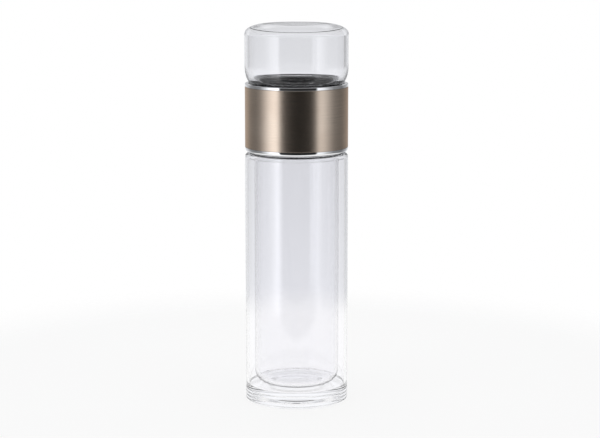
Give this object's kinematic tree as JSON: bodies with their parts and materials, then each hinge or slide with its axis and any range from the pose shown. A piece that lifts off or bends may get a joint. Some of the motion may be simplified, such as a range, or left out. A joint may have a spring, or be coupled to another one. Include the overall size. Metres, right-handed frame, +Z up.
{
  "type": "tea infuser bottle",
  "caption": "Double-wall glass bottle with a screw-on metal collar that holds a lift-out strainer and carries an inverted glass tea chamber on a second thread.",
  "frame": {"origin": "centre of the base, on the surface that the bottle stands on", "axes": "+Z up along the axis of the bottle, collar and chamber; X and Y are free because the outside is turned"},
  "size_m": [0.0662, 0.0662, 0.2435],
  "materials": {
    "clear_glass": "clear polished borosilicate",
    "bronze": "satin bronze coat",
    "polished_steel": "mirror polished",
    "black_plastic": "fine satin moulding",
    "silicone": "matt black silicone",
    "stainless": "pressed stainless sheet"
  },
  "bodies": {
    "bottle": {"outer_glass": "clear_glass", "inner_glass": "clear_glass"},
    "lower_seal": {"lower_gasket": "silicone"},
    "collar": {"collar_sleeve": "bronze", "bottom_trim_ring": "polished_steel", "top_trim_ring": "polished_steel", "lower_thread_insert": "black_plastic", "upper_thread_insert": "black_plastic"},
    "strainer": {"strainer_frame": "stainless", "strainer_plate": "stainless", "strainer_seal": "silicone"},
    "upper_seal": {"upper_gasket": "silicone"},
    "tea_chamber": {"tea_chamber_glass": "clear_glass"}
  },
  "joints": [
    {"name": "collar_lift", "type": "slide", "parent": "bottle", "child": "lower_seal", "axis": [0, 0, 1], "range_m": [0, 0.01751]},
    {"name": "collar_turn", "type": "hinge", "parent": "lower_seal", "child": "collar", "pos_m": [0, 0, 0.17], "axis": [0, 0, 1], "range_deg": [0, 1260]},
    {"name": "strainer_lift", "type": "slide", "parent": "collar", "child": "strainer", "axis": [0, 0, 1], "range_m": [0, 0.032]},
    {"name": "chamber_lift", "type": "slide", "parent": "collar", "child": "upper_seal", "axis": [0, 0, 1], "range_m": [0, 0.02001]},
    {"name": "chamber_turn", "type": "hinge", "parent": "upper_seal", "child": "tea_chamber", "pos_m": [0, 0, 0.2], "axis": [0, 0, 1], "range_deg": [0, 1440]}
  ],
  "couplings": [
    {"joint": "collar_lift", "follows": "collar_turn", "m_per_rad": 0.00079577},
    {"joint": "chamber_lift", "follows": "chamber_turn", "m_per_rad": 0.00079577}
  ]
}
